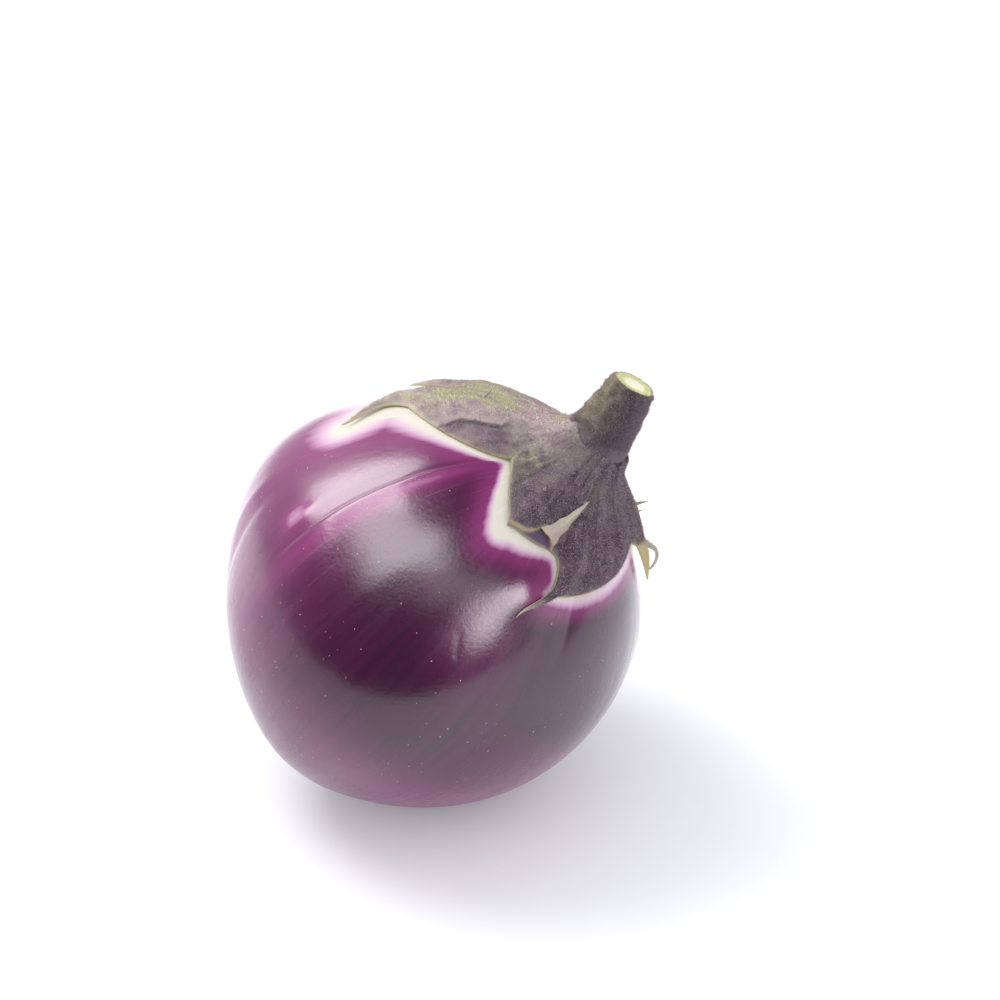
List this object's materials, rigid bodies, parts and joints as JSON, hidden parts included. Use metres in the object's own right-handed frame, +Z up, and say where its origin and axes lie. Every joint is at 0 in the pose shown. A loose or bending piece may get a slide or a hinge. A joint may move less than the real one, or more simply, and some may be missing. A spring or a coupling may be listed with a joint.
{
  "type": "round eggplant",
  "caption": "Round glossy violet eggplant with a felted pointed-sepal calyx and a short cut stalk, lying on its side at a lean.",
  "frame": {"origin": "on the small flat spot that the fruit rests on, straight below the middle of the fruit", "axes": "+Z up from the floor; the fruit's stalk axis lies in the XZ plane and leans 40 degrees from +Z towards +X; -Y is the side that shows the small front sepals"},
  "size_m": [0.1059, 0.1036, 0.1142],
  "materials": {
    "skin": "gloss",
    "calyx": "matte",
    "stalk": "matte"
  },
  "bodies": {
    "root": {"fruit": "skin", "calyx": "calyx", "stalk": "stalk"}
  },
  "joints": []
}
